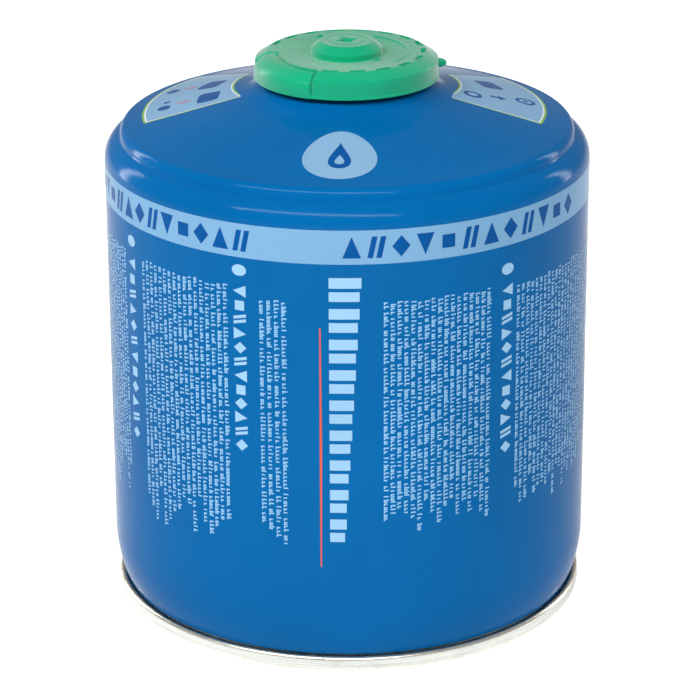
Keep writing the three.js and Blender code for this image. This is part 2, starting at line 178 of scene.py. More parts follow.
def noise_of(tree, place, scale, detail, stretch=None):
    """Noise in object space, in lumps of one over scale metres, stretched if asked."""
    noise = tree.nodes.new("ShaderNodeTexNoise")
    noise.inputs["Scale"].default_value = scale
    noise.inputs["Detail"].default_value = detail
    if stretch:
        mapping = tree.nodes.new("ShaderNodeMapping")
        mapping.inputs["Scale"].default_value = stretch
        tree.links.new(place.outputs["Object"], mapping.inputs["Vector"])
        tree.links.new(mapping.outputs["Vector"], noise.inputs["Vector"])
    else:
        tree.links.new(place.outputs["Object"], noise.inputs["Vector"])
    return noise.outputs["Fac"]


def ranged(tree, value, low, high, start=0.3, end=0.7):
    node = tree.nodes.new("ShaderNodeMapRange")
    node.inputs["From Min"].default_value = start
    node.inputs["From Max"].default_value = end
    node.inputs["To Min"].default_value = low
    node.inputs["To Max"].default_value = high
    tree.links.new(value, node.inputs["Value"])
    return node.outputs["Result"]


def mixed(tree, amount, first, second):
    node = tree.nodes.new("ShaderNodeMix")
    node.data_type = "RGBA"
    for socket, colour in ((node.inputs["A"], first), (node.inputs["B"], second)):
        if isinstance(colour, tuple):
            socket.default_value = colour
        else:
            tree.links.new(colour, socket)
    tree.links.new(amount, node.inputs["Factor"])
    return node.outputs["Result"]


def bumped(tree, shader, height, distance, strength):
    bump = tree.nodes.new("ShaderNodeBump")
    bump.inputs["Distance"].default_value = distance
    bump.inputs["Strength"].default_value = strength
    tree.links.new(height, bump.inputs["Height"])
    tree.links.new(bump.outputs["Normal"], shader.inputs["Normal"])


def coated(name, colour, gloss, shine, grain, lift, vary=0.05):
    """Lacquer, ink or plastic: gloss is a pair of roughness values, grain is in lumps a metre."""
    material, tree, shader, place = start_material(name)
    cloud = noise_of(tree, place, 38, 3)
    amount = ranged(tree, cloud, 0, 1)
    shade = mixed(tree, amount, linear(shifted(colour, 1 - vary)), linear(shifted(colour, 1 + vary)))
    tree.links.new(shade, shader.inputs["Base Color"])
    handled = noise_of(tree, place, 95, 5)
    tree.links.new(ranged(tree, handled, gloss[0], gloss[1]), shader.inputs["Roughness"])
    shader.inputs["Specular IOR Level"].default_value = shine
    bumped(tree, shader, noise_of(tree, place, grain, 2), lift, 0.35)
    return material


# %% [markdown]
# The blue is a gloss lacquer over tinplate. Besides its orange peel it has faint rub marks, which
# a long thin noise gives: where that noise is strongest, the lacquer is a touch paler and duller.

# %% Blue lacquer
BLUE = (0, 102, 168)
BLUE_RUBBED = (6, 111, 176)

LACQUER_SHINE = 0.065


def lacquer(name):
    material, tree, shader, place = start_material(name)
    cloud = ranged(tree, noise_of(tree, place, 30, 3), 0, 1)
    deep = mixed(tree, cloud, linear(shifted(BLUE, 0.97)), linear(shifted(BLUE, 1.03)))
    rub = noise_of(tree, place, 900, 3, (0.06, 0.06, 1.0))
    worn = ranged(tree, rub, 0, 0.35, 0.66, 0.8)
    tree.links.new(mixed(tree, worn, deep, linear(BLUE_RUBBED)), shader.inputs["Base Color"])
    tree.links.new(ranged(tree, noise_of(tree, place, 80, 5), 0.1, 0.17), shader.inputs["Roughness"])
    shader.inputs["Specular IOR Level"].default_value = LACQUER_SHINE
    bumped(tree, shader, noise_of(tree, place, 700, 2), 0.00002, 0.3)
    return material


blue_lacquer = lacquer("blue_lacquer")
print("made", blue_lacquer.name)

# %% [markdown]
# The foot and the valve cup are bare tinplate. Rolling and seaming leave fine lines that run round
# the can, so the noise is stretched along the turn and packed tight up the axis.

# %% Tinplate
def tinplate(name, colour, gloss, warm=None):
    """Bare plate with lines round the axis; warm tints the rim between two heights in metres."""
    material, tree, shader, place = start_material(name)
    lines = noise_of(tree, place, 40, 4, (1.0, 1.0, 90.0))
    spots = noise_of(tree, place, 260, 4)
    dull, bright = linear(shifted(colour, 0.9)), linear(shifted(colour, 1.05))
    shade = mixed(tree, ranged(tree, lines, 0, 1), dull, bright)
    stain = linear(shifted(colour, 0.75))
    shade = mixed(tree, ranged(tree, spots, 0, 0.25, 0.55, 0.75), shade, stain)
    if warm:
        tint, low, high = warm
        split = tree.nodes.new("ShaderNodeSeparateXYZ")
        tree.links.new(place.outputs["Object"], split.inputs[0])
        shade = mixed(tree, ranged(tree, split.outputs["Z"], 0, 0.55, low, high), shade, linear(tint))
    tree.links.new(shade, shader.inputs["Base Color"])
    tree.links.new(ranged(tree, spots, gloss[0], gloss[1]), shader.inputs["Roughness"])
    shader.inputs["Metallic"].default_value = 1.0
    bumped(tree, shader, lines, 0.00003, 0.25)
    return material


CUT_EDGE = ((226, 198, 168), 0.0029, 0.0034)
foot_plate = tinplate("foot_plate", (242, 243, 232), (0.22, 0.36), CUT_EDGE)
cup_plate = tinplate("cup_plate", (214, 217, 218), (0.2, 0.32))
print("made", foot_plate.name, cup_plate.name)

# %% [markdown]
# ## Turned surfaces
# Nearly every piece is round, so each is one outline turned about the axis. A screw modifier would
# do it too, but a few lines of mesh code also give a closed tip where an outline meets the axis.
# The outlines are in millimetres, as distance from the axis and height, and repeat the sizes of
# the solids. Edges sharper than a set angle stay crisp and the rest is shaded smooth.

# %% Helpers for outlines and meshes
def rad(degrees):
    return math.radians(degrees)


def arc(centre_r, centre_z, radius, start, end, steps):
    """Points of an arc in the half plane, angles in degrees from outwards."""
    turns = [rad(start + (end - start) * i / steps) for i in range(steps + 1)]
    return [(centre_r + radius * math.cos(a), centre_z + radius * math.sin(a)) for a in turns]


def make_piece(name, points, faces, material, crease=30):
    """A mesh piece from points in millimetres."""
    mesh = bpy.data.meshes.new(name)
    mesh.from_pydata([tuple(p) for p in np.asarray(points) * MM], [], faces)
    mesh.update()
    mesh.shade_smooth()
    mesh.set_sharp_from_angle(angle=rad(crease))
    mesh.materials.append(material)
    piece = bpy.data.objects.new(name, mesh)
    scene.collection.objects.link(piece)
    return piece


def turned(name, outline, steps, material, closed=False, crease=30):
    """An outline of (r, z) turned once round; a point on the axis closes in a fan."""
    points = []
    rows = []
    for r, z in outline:
        if r < 1e-6:
            rows.append([len(points)] * steps)
            points.append((0, 0, z))
            continue
        rows.append(list(range(len(points), len(points) + steps)))
        points += [(r * math.cos(2 * math.pi * i / steps), r * math.sin(2 * math.pi * i / steps), z)
                   for i in range(steps)]
    faces = []
    pairs = list(zip(rows, rows[1:]))
    if closed:
        pairs.append((rows[-1], rows[0]))
    for low, high in pairs:
        for i in range(steps):
            k = (i + 1) % steps
            faces.append(list(dict.fromkeys((low[i], low[k], high[k], high[i]))))
    return make_piece(name, points, faces, material, crease)


# %% [markdown]
# ### The can
# The body is drawn steel: it draws in above the foot, runs straight up, rolls over the shoulder,
# steps up a narrow ring and rises as a shallow cone that sweeps into the mouth. The neck at the
# foot is a little fuller than the solid's, so that it stands close to the seam. The skin lies a
# twentieth of a millimetre inside the true size, which leaves room for the ink on top.

# %% Turn the can body
BODY_R = 55.0
SKIN = 0.05
NECK_TOP_Z = 15.0
NECK_FOOT_Z = 3.8
NECK_CURVE_R = 32.0
SHOULDER_Z = 104.4
SHOULDER_R = 5.5
SHOULDER_TURN = 67
STEP_RISE = 2.6
STEP_SET_IN = 1.9
DOME_SLOPE = 13.6
DOME_FOOT_R = 25.0
SWEEP_R = 12.0
SWEEP_END_SLOPE = 45
LIP_R = 16.4
LIP_RISE = 2.27
MOUTH_R = 12.9
POCKET_R = 13.7
POCKET_DEPTH = 15.5
ROUND_STEPS = 256

neck_rise = NECK_TOP_Z - NECK_FOOT_Z
neck_foot_r = BODY_R - NECK_CURVE_R + math.sqrt(NECK_CURVE_R**2 - neck_rise**2)
neck_turn = math.asin(neck_rise / NECK_CURVE_R)
neck = [(BODY_R - NECK_CURVE_R * (1 - math.cos(a)), NECK_TOP_Z - NECK_CURVE_R * math.sin(a))
        for a in (neck_turn * (1 - i / 14) for i in range(15))]
shoulder = arc(BODY_R - SHOULDER_R, SHOULDER_Z, SHOULDER_R, 0, SHOULDER_TURN, 20)
step_r, step_z = shoulder[-1]
dome_r = step_r - STEP_SET_IN
dome_z = step_z + STEP_RISE
bead_foot_r = step_r - 0.12
bead_depth = STEP_SET_IN - 0.12
bead = [(bead_foot_r - bead_depth * (1 - math.cos(rad(t))), step_z + STEP_RISE * math.sin(rad(t)))
        for t in range(8, 84, 5)]
slope = math.tan(rad(DOME_SLOPE))
dome_foot_z = dome_z + (dome_r - DOME_FOOT_R) * slope
sweep = [(DOME_FOOT_R - SWEEP_R * (math.sin(rad(a)) - math.sin(rad(DOME_SLOPE))),
          dome_foot_z + SWEEP_R * (math.cos(rad(DOME_SLOPE)) - math.cos(rad(a))))
         for a in np.linspace(DOME_SLOPE, SWEEP_END_SLOPE, 12)]
sweep_end_z = sweep[-1][1]
lip_top_z = sweep_end_z + LIP_RISE
ledge_z = sweep_end_z + 0.3
pocket_floor_z = lip_top_z - POCKET_DEPTH
can_outline = [
    (neck_foot_r - 0.6, NECK_FOOT_Z - 0.1),
    *neck,
    *[(BODY_R, z) for z in np.linspace(NECK_TOP_Z + 8, SHOULDER_Z - 8, 6)],
    *shoulder,
    *bead,
    *[(r, dome_z + (dome_r - r) * slope) for r in np.linspace(dome_r, DOME_FOOT_R + 4, 6)],
    *sweep,
    (LIP_R + 1.6, ledge_z),
    (LIP_R + 0.3, ledge_z + 0.15),
    (LIP_R, ledge_z + 0.5),
    (LIP_R, lip_top_z - 0.5),
    (LIP_R - 0.15, lip_top_z - 0.12),
    (LIP_R - 0.5, lip_top_z),
    (MOUTH_R + 1.1, lip_top_z),
    (MOUTH_R + 0.3, lip_top_z - 0.3),
    (MOUTH_R, lip_top_z - 0.9),
    (MOUTH_R, lip_top_z - 2.1),
    (POCKET_R, lip_top_z - 3.1),
    (POCKET_R, pocket_floor_z),
    (0, pocket_floor_z),
]
skin_outline = [(max(0, r - SKIN), z) for r, z in can_outline]
can_shell = turned("can_shell", skin_outline, ROUND_STEPS, blue_lacquer, crease=40)
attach(can_shell, "can")
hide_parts("can_body")
print("can shell", len(can_shell.data.polygons), "faces, dome from", round(dome_z, 2))

# %% [markdown]
# ### The foot
# The bottom end is a domed disc whose edge is folded round the foot of the body into a tight
# double seam. It is the ring of bare metal in the photograph, and the can stands on it. A folded
# seam has a round top edge and a faint line where the plate ends, so the outline has both.

# %% Turn the bottom end
SEAM_R = 54.3
SEAM_H = 3.5
FOOT_EDGE = 0.9
FOOT_FLAT_W = 1.2
PANEL_RISE = 14.6

foot_out_r = SEAM_R - FOOT_EDGE
foot_in_r = foot_out_r - FOOT_FLAT_W
panel_rim_r = foot_in_r - 3
panel_rim_z = SEAM_H + 0.8
panel_high = PANEL_RISE - panel_rim_z
panel = [(panel_rim_r * math.sin(rad(t)), panel_rim_z + panel_high * math.cos(rad(t)))
         for t in np.linspace(0, 90, 22)]
end_outline = [
    *panel,
    (foot_in_r - 2.2, SEAM_H - 0.3),
    (foot_in_r - 1.2, 1.9),
    (foot_in_r - 0.5, 0.5),
    (foot_in_r - 0.2, 0.12),
    (foot_in_r, 0),
    (foot_out_r, 0),
    *arc(SEAM_R - 0.9, 0.9, 0.9, -80, 0, 7),
    (SEAM_R, 1.5),
    (SEAM_R - 0.04, 1.62),
    (SEAM_R, 1.74),
    *arc(SEAM_R - 0.9, SEAM_H - 0.9, 0.9, 0, 80, 8),
    (neck_foot_r + 0.1, SEAM_H - 0.05),
    (neck_foot_r - 0.1, SEAM_H - 0.2),
    (neck_foot_r - 0.5, SEAM_H - 0.3),
]
foot_ring = turned("foot_ring", end_outline, ROUND_STEPS, foot_plate, crease=55)
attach(foot_ring, "can")
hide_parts("bottom_end")
print("seam radius", round(SEAM_R, 2), "mm, flat ring", round(foot_in_r, 2), "to", round(foot_out_r, 2))

# %% [markdown]
# ### Under the cap
# The valve cup is clinched into the mouth: its rim lies over a gasket, its wall swells under the
# lip, and a pedestal in its middle holds the valve stem. None of it shows until the cap is lifted.
# The gaskets and the housing keep their solids, with better finishes.

# %% Turn the valve cup and stem
CUP_T = 0.6
GAP = 0.3
CUP_RIM_RISE = 1.7
CUP_SKIRT_H = 2.3
CUP_DEPTH = 8.8
PEDESTAL_R = 9.6
PEDESTAL_H = 6.2
CUP_HOLE_R = 2.4
STEM_R = 1.9
STEM_PROUD = 2.4
STEM_BORE_R = 0.8

cup_top = lip_top_z + CUP_RIM_RISE
cup_floor = cup_top - CUP_DEPTH
pedestal_top = cup_floor + PEDESTAL_H
cup_out_r = LIP_R + GAP + 0.05 + CUP_T
cup_wall_r = MOUTH_R - GAP
clinch_r = POCKET_R - GAP
cup_outline = [
    (CUP_HOLE_R, pedestal_top - CUP_T),
    (PEDESTAL_R - CUP_T, pedestal_top - CUP_T),
    (PEDESTAL_R - CUP_T, cup_floor),
    (clinch_r - 0.6, cup_floor),
    (clinch_r, cup_floor + 0.7),
    (clinch_r, lip_top_z - 3.2),
    (cup_wall_r, lip_top_z - 2.2),
    (cup_wall_r, cup_top - CUP_T - 0.7),
    (cup_wall_r + 0.7, cup_top - CUP_T),
    (cup_out_r - CUP_T, cup_top - CUP_T),
    (cup_out_r - CUP_T, cup_top - CUP_SKIRT_H),
    (cup_out_r, cup_top - CUP_SKIRT_H),
    *arc(cup_out_r - 0.7, cup_top - 0.7, 0.7, 0, 90, 6),
    *arc(cup_wall_r + 0.4, cup_top - 1, 1, 90, 180, 6),
    (cup_wall_r - CUP_T, lip_top_z - 2.4),
    (clinch_r - CUP_T, lip_top_z - 3.4),
    (clinch_r - CUP_T, cup_floor + 1.2),
    (clinch_r - CUP_T - 0.2, cup_floor + CUP_T + 0.2),
    (clinch_r - CUP_T - 0.6, cup_floor + CUP_T),
    (PEDESTAL_R + 0.3, cup_floor + CUP_T),
    (PEDESTAL_R, cup_floor + CUP_T + 0.3),
    *arc(PEDESTAL_R - 0.8, pedestal_top - 0.8, 0.8, 0, 90, 6),
    (CUP_HOLE_R, pedestal_top),
]
cup = turned("valve_cup_plate", cup_outline, 128, cup_plate, closed=True, crease=40)
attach(cup, "can")
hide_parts("valve_cup")

white_plastic = coated("white_plastic", (224, 224, 214), (0.38, 0.5), 0.4, 1200, 0.00002, 0.02)
stem_top = pedestal_top + STEM_PROUD
stem_foot = pedestal_top - CUP_T - GAP - 0.7 - GAP
stem_outline = [
    (0, stem_foot - 4.2),
    (2.2, stem_foot - 4.2),
    (2.6, stem_foot - 3.8),
    (2.6, stem_foot - 2),
    (5.6, stem_foot - 2),
    (5.6, stem_foot),
    (STEM_R, stem_foot),
    (STEM_R, stem_top - 0.4),
    (STEM_R - 0.12, stem_top - 0.12),
    (STEM_R - 0.4, stem_top),
    (STEM_BORE_R + 0.1, stem_top),
    (STEM_BORE_R, stem_top - 0.15),
    (STEM_BORE_R, stem_top - 1.6),
    (0, stem_top - 1.6),
]
stem = turned("valve_stem_tube", stem_outline, 64, white_plastic, crease=35)
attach(stem, "stem")
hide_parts("valve_stem")
print("cup rim at", round(cup_top, 2), "stem top at", round(stem_top, 2))

# %% Finish the hidden solids
rubber = coated("seal_rubber", (38, 38, 38), (0.6, 0.8), 0.3, 1500, 0.00003, 0.08)
kept_solids = {"cup_gasket": rubber, "stem_gasket": rubber, "valve_housing": white_plastic}
for node, material in kept_solids.items():
    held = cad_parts[node]
    held.data.materials.clear()
    held.data.materials.append(material)
print("kept", list(kept_solids))

# %% [markdown]
# The spring is one wire wound into a coil, and the only piece that changes its length: as the stem
# goes down, it shortens towards its foot. So it is a mesh of its own, a small ring of points carried
# along the coil.

# %% Wind the spring
COIL_R = 4.2
COIL_TURNS = 4.5
WIRE_R = 0.45
WIRE_SIDES = 10
STEPS_A_TURN = 32

spring_low, spring_high = (corner[2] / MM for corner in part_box("valve_spring"))
coil_rise = spring_high - spring_low - 2 * WIRE_R
coil_steps = round(COIL_TURNS * STEPS_A_TURN)
wire_points, wire_faces = [], []
for step in range(coil_steps + 1):
    a = 2 * math.pi * COIL_TURNS * step / coil_steps
    middle_z = spring_low + WIRE_R + coil_rise * step / coil_steps
    for r, z in arc(COIL_R, middle_z, WIRE_R, 0, 360, WIRE_SIDES)[:-1]:
        wire_points.append((r * math.cos(a), r * math.sin(a), z))
for step in range(coil_steps):
    for k in range(WIRE_SIDES):
        first, second = step * WIRE_SIDES + k, step * WIRE_SIDES + (k + 1) % WIRE_SIDES
        wire_faces.append((first, first + WIRE_SIDES, second + WIRE_SIDES, second))
wire_faces.append(tuple(range(WIRE_SIDES)))
wire_faces.append(tuple(range(len(wire_points) - 1, len(wire_points) - 1 - WIRE_SIDES, -1)))
spring_steel = tinplate("spring_wire", (190, 192, 196), (0.18, 0.3))
spring = make_piece("valve_spring_wire", wire_points, wire_faces, spring_steel, crease=60)
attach(spring, "can")
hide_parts("valve_spring")
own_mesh(spring)

# %% [markdown]
# ## The cap
# The cap is one moulding with a good deal on it: a boss with a sunken, notched centre, a dished
# top with a ring of short slots, a raised rib, two vents, a rounded lift panel set off by grooves,
# a thin lip at the foot and a small lug. It could be cut from a turned solid, but cuts leave ragged
# shading on soft edges. So it is a grid round the axis: each column is the outline at that angle,
# which changes into the lift panel's where that lies, and the features push its points in or out.

# %% Outlines of the cap
CAP_R = 20.6
CAP_DROP = 0.4
CAP_WALL_H = 4.1
CAP_RIM_R = 17.9
CAP_RIM_RISE = 1.55
CAP_WALL = 1.2
CAP_LIP = 0.25
CEILING_RISE = 1.1
DISH_DEPTH = 0.65
BOSS_R = 8.05
BOSS_WALL_H = 1.3
BOSS_TOP_R = 6.1
BOSS_CONE_H = 1.7
BOSS_TOP_T = 1.3
PANEL_START = 185.0
PANEL_END = 248.0
PANEL_PROUD = 0.45

cap_foot = cup_top - CUP_SKIRT_H - CAP_DROP
cap_edge = cap_foot + CAP_WALL_H
cap_rim = cap_edge + CAP_RIM_RISE
ceiling = cup_top + CEILING_RISE
dish = cap_rim - DISH_DEPTH
boss_foot = dish + BOSS_WALL_H
boss_top = boss_foot + BOSS_CONE_H
dish_end_r = 15.2
dish_end_z = dish + (cap_rim - dish) * (dish_end_r - BOSS_R) / (CAP_RIM_R - 1.2 - BOSS_R)
panel_r = CAP_R + PANEL_PROUD
inner_r = CAP_R - CAP_WALL

boss_and_dish = [
    (0, boss_top),
    (BOSS_TOP_R - 0.25, boss_top),
    (BOSS_TOP_R, boss_top - 0.06),
    (BOSS_TOP_R + 0.22, boss_top - 0.2),
    (BOSS_R, boss_foot),
    (BOSS_R, dish + 0.2),
    (BOSS_R + 0.2, dish),
    (dish_end_r, dish_end_z),
]
plain_side = [
    *boss_and_dish,
    (CAP_RIM_R - 1.0, cap_rim - 0.03),
    (CAP_RIM_R - 0.2, cap_rim),
    (CAP_RIM_R + 0.15, cap_rim - 0.14),
    (CAP_R - 0.25, cap_edge + 0.02),
    (CAP_R - 0.07, cap_edge - 0.12),
    (CAP_R, cap_edge - 0.4),
    (CAP_R + 0.05, cap_foot + 0.55),
    (CAP_R + CAP_LIP, cap_foot + 0.36),
    (CAP_R + CAP_LIP, cap_foot),
]
panel_side = [
    *boss_and_dish,
    (CAP_RIM_R - 1.2, cap_rim - 0.1),
    (CAP_RIM_R + 0.1, cap_rim - 0.32),
    (CAP_RIM_R + 0.9, cap_rim - 0.62),
    (CAP_R - 0.6, cap_edge - 0.02),
    (CAP_R + 0.05, cap_edge - 0.75),
    (panel_r - 0.12, cap_edge - 1.6),
    (panel_r, cap_foot + 1.3),
    (panel_r, cap_foot + 0.5),
    (panel_r, cap_foot),
]
rows_between = [26, 2, 2, 8, 3, 2, 32, 10, 8, 3, 12, 3, 3, 10, 2, 2]
print("cap from", round(cap_foot, 2), "to", round(boss_top, 2), "mm,", sum(rows_between), "rows outside")

# %% [markdown]
# The outside starts as a plain grid. Each stretch of the outline is split into its own number of
# rows, so that they lie close where a slot or a vent has to be crisp. A point is later pushed
# square to its own column, and that direction comes from its neighbours up and down.

# %% Lay the grid of the outside
COLUMNS = 540


def between(value, low, high, soft):
    """1 between low and high, falling to 0 over the soft distance outside them."""
    rise = np.clip((value - low) / soft + 1, 0, 1)
    fall = np.clip((high - value) / soft + 1, 0, 1)
    return np.minimum(rise, fall)


def side_points(outline):
    split = []
    for (r0, z0), (r1, z1), count in zip(outline, outline[1:], rows_between):
        split += [(r0 + (r1 - r0) * k / count, z0 + (z1 - z0) * k / count) for k in range(count)]
    split.append(outline[-1])
    return np.array(split)


angles = np.arange(COLUMNS) * 360 / COLUMNS
on_panel = between(angles, PANEL_START + 1.0, PANEL_END - 0.4, 0.5)[None, :, None]
outer = side_points(plain_side)[:, None, :] * (1 - on_panel)
outer = outer + side_points(panel_side)[:, None, :] * on_panel
along = np.gradient(outer, axis=0)
length = np.linalg.norm(along, axis=2) + 1e-9
normal = np.stack([-along[..., 1], along[..., 0]], axis=2) / length[..., None]
normal *= np.where(normal[..., 1:2] + normal[..., 0:1] < 0, -1, 1)
r, z = outer[..., 0], outer[..., 1]
turn_at = np.broadcast_to(angles[None, :], r.shape)
x, y = r * np.cos(np.radians(turn_at)), r * np.sin(np.radians(turn_at))
on_top = (z > dish - 0.1) & (r > BOSS_R + 0.15) & (r < CAP_RIM_R + 0.3)
on_boss = (z > boss_top - 0.02) & (r < BOSS_TOP_R - 0.3)
push = np.zeros_like(r)
print("grid of", r.shape[0], "rows by", COLUMNS, "columns")

# %% [markdown]
# Each small feature is a soft step: 1 inside its area and 0 outside, with a narrow slope between.
# Places round the cap are in degrees from +X, as in the solids. The slots are a little wider and
# deeper than theirs, so that they catch a shadow. The groove behind the lift panel isn't quite
# round: it starts nearer the middle and runs outwards.

# %% Sink the slots and the grooves of the lift panel
SLOT_COUNT = 18
SLOT_FIRST = -2.0
SLOT_SPAN = 11.0
SLOT_R = 17.25
SLOT_W = 0.95
SLOT_DEPTH = 1.1
GROOVE_DEPTH = 0.75
GROOVE_TURNS = (PANEL_START, 197, 210, 222, 236, PANEL_END)
GROOVE_RADII = (15.75, 15.8, 16.3, 16.95, 17.5, 17.65)
PANEL_END_DEPTH = 0.8
FAR_END_SHARE = 0.75


def turned_from(middle):
    """Degrees from a direction, to either side of it."""
    return (turn_at - middle + 180) % 360 - 180


for k in range(SLOT_COUNT):
    middle = SLOT_FIRST + k * 360 / SLOT_COUNT
    if middle + SLOT_SPAN / 2 > PANEL_START - 2 and middle - SLOT_SPAN / 2 < PANEL_END + 1:
        continue
    slot = between(turned_from(middle), -SLOT_SPAN / 2, SLOT_SPAN / 2, 0.5)
    slot = slot * between(r, SLOT_R - SLOT_W / 2, SLOT_R + SLOT_W / 2, 0.1)
    push -= SLOT_DEPTH * slot * on_top
groove_r = np.interp(turn_at, GROOVE_TURNS, GROOVE_RADII)
in_panel = between(turn_at, PANEL_START, PANEL_END, 0.4)
push -= GROOVE_DEPTH * in_panel * between(r, groove_r - 0.3, groove_r + 0.25, 0.12) * on_top
near_end = between(turn_at, PANEL_START - 0.7, PANEL_START + 0.9, 0.4)
far_end = FAR_END_SHARE * between(turn_at, PANEL_END - 0.9, PANEL_END + 0.2, 0.4)
below_groove = (r > groove_r - 0.2) & (z > cap_foot + 0.9)
push -= PANEL_END_DEPTH * np.maximum(near_end, far_end) * below_groove
print("slots", SLOT_COUNT, "less those over the lift panel")

# %% Raise the rib and sink the boss and the vents
RIB_MIDDLE = 12
RIB_HALF_SPAN = 50
RIB_R = (13.6, 14.0)
RIB_H = 0.22
EYE_R = 1.35
EYE_DEPTH = 0.75
NOTCH_HEADINGS = (20, 110)
NOTCH_DEPTH = 0.3
RING_R = (4.2, 4.5)
RING_DEPTH = 0.12
VENTS = ((13.5, 115.5), (8.95, -41.5))
VENT_R = 0.5
VENT_DEPTH = 1.1
VENT_RIM = (0.75, 0.95)
VENT_RIM_H = 0.18

rib = between(turned_from(RIB_MIDDLE), -RIB_HALF_SPAN, RIB_HALF_SPAN, 3) * between(r, *RIB_R, 0.3)
push += RIB_H * rib * on_top
push -= EYE_DEPTH * between(r, 0, EYE_R, 0.25) * on_boss
for heading in NOTCH_HEADINGS:
    across = np.abs(-x * math.sin(rad(heading)) + y * math.cos(rad(heading)))
    push -= NOTCH_DEPTH * between(r, 1.3, 2.3, 0.2) * between(across, 0, 0.3, 0.2) * on_boss
push -= RING_DEPTH * between(r, *RING_R, 0.3) * on_boss
for vent_r, vent_turn in VENTS:
    away = np.hypot(x - vent_r * math.cos(rad(vent_turn)), y - vent_r * math.sin(rad(vent_turn)))
    rim = VENT_RIM_H * between(away, *VENT_RIM, 0.2)
    push += (rim - VENT_DEPTH * between(away, 0, VENT_R, 0.2)) * on_top
push[0, :] = push[1, :].mean()
print("features push from", round(push.min(), 2), "to", round(push.max(), 2), "mm")

# %% [markdown]
# The inside is plain: a ceiling, a ring that rests on the valve cup and a ring that clips round
# it. Its outline carries on from the foot of the outside, and both ends close on the axis. The
# plastic has a fine grain and a faint bloom at low angles, which the sheen gives.

# %% Close the cap's mesh
CLIP_R = (17.8, 18.6)
SEAT_R = (14.2, 15.6)

inside = np.array([
    (inner_r, cap_foot),
    (inner_r, ceiling - 0.3),
    (inner_r - 0.3, ceiling),
    (CLIP_R[1], ceiling),
    (CLIP_R[1], cap_foot + 0.5),
    (CLIP_R[0], cap_foot + 0.5),
    (CLIP_R[0], ceiling),
    (SEAT_R[1], ceiling),
    (SEAT_R[1], cup_top + GAP),
    (SEAT_R[0], cup_top + GAP),
    (SEAT_R[0], ceiling),
    (6.6, ceiling),
    (4.6, boss_top - BOSS_TOP_T),
    (0, boss_top - BOSS_TOP_T),
])
all_r = np.concatenate([r + push * normal[..., 0], np.repeat(inside[:, 0:1], COLUMNS, axis=1)])
all_z = np.concatenate([z + push * normal[..., 1], np.repeat(inside[:, 1:2], COLUMNS, axis=1)])
all_x, all_y = all_r * np.cos(np.radians(angles)), all_r * np.sin(np.radians(angles))
grid = np.stack([all_x, all_y, all_z], axis=2)
points = [tuple(grid[0, 0])]
points += [tuple(p) for p in grid[1:-1].reshape(-1, 3)]
points.append(tuple(grid[-1, 0]))
last = len(points) - 1
last_ring = last - COLUMNS
faces = []
for k in range(COLUMNS):
    n = (k + 1) % COLUMNS
    faces.append((0, 1 + k, 1 + n))
    faces.append((last_ring + k, last, last_ring + n))
for a in range(1, last_ring, COLUMNS):
    b = a + COLUMNS
    faces += [(a + k, b + k, b + (k + 1) % COLUMNS, a + (k + 1) % COLUMNS) for k in range(COLUMNS)]

green_plastic = coated("green_plastic", (0, 170, 122), (0.24, 0.34), 0.2, 900, 0.00003, 0.03)
cap_shader = green_plastic.node_tree.nodes["Principled BSDF"]
cap_shader.inputs["Sheen Weight"].default_value = 0.75
cap_shader.inputs["Sheen Roughness"].default_value = 0.4
cap = make_piece("cap_moulding", points, faces, green_plastic, crease=38)
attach(cap, "lid")
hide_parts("cap")
print("cap", len(cap.data.polygons), "faces")

# %% [markdown]
# The lug on the right is the end of the moulding's gate: a small blunt wedge. Its rounded section
# tapers outwards, so it is made as a few rounded squares joined from the wall to the tip.

# %% Add the lug
LUG_SET_UP = 2.7
LUG_REACH = 1.83
LUG_SIDES = 20
LUG_SECTIONS = (
    (-0.6, 1.1, 0.95),
    (0.4, 1.1, 0.95),
    (1.1, 0.95, 0.8),
    (1.6, 0.7, 0.55),
    (LUG_REACH, 0.4, 0.3),
)


def rounded_loop(half_wide, half_high):
    """A square with round corners, as points in two directions."""
    loop = []
    for k in range(LUG_SIDES):
        a = 2 * math.pi * k / LUG_SIDES
        c, s = math.cos(a), math.sin(a)
        squarer_c = math.copysign(abs(c) ** 0.5, c)
        squarer_s = math.copysign(abs(s) ** 0.5, s)
        loop.append((half_wide * squarer_c, half_high * squarer_s))
    return loop


lug_points, lug_faces = [], []
lug_z = cap_foot + LUG_SET_UP
for outwards, half_wide, half_high in LUG_SECTIONS:
    lug_points += [(CAP_R + outwards, u, lug_z + v) for u, v in rounded_loop(half_wide, half_high)]
for section in range(len(LUG_SECTIONS) - 1):
    base = section * LUG_SIDES
    for k in range(LUG_SIDES):
        n = (k + 1) % LUG_SIDES
        lug_faces.append((base + k, base + n, base + LUG_SIDES + n, base + LUG_SIDES + k))
lug_faces.append(tuple(range(len(lug_points) - LUG_SIDES, len(lug_points))))
lug = make_piece("cap_lug", lug_points, lug_faces, green_plastic, crease=50)
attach(lug, "lid")
print("lug reaches", round(CAP_R + LUG_REACH, 2), "mm")

# %% [markdown]
# ## The print
# Ink is thin but it has an edge and its own colour. It could be a pattern in the lacquer's
# material, but a film that lies a few hundredths of a millimetre above the lacquer keeps crisp
# edges from near and can be repainted by itself. Shapes are drawn flat in millimetres and laid on
# the wall by turning across into angle.

# %% Ink films on the wall
FIELD_R = BODY_R - 0.025
INK_R = BODY_R - 0.005
WIDEST_FLAT = 1.8
LONGEST_EDGE = 1.2


def on_wall(radius):
    def place(u, v):
        a = u / BODY_R
        return (radius * math.sin(a), -radius * math.cos(a), v)
    return place


def bar(u0, u1, v0, v1, lean=0.0):
    """A four-cornered bar; lean moves its upper edge sideways."""
    return [(u0, v0), (u1, v0), (u1 + lean, v1), (u0 + lean, v1)]


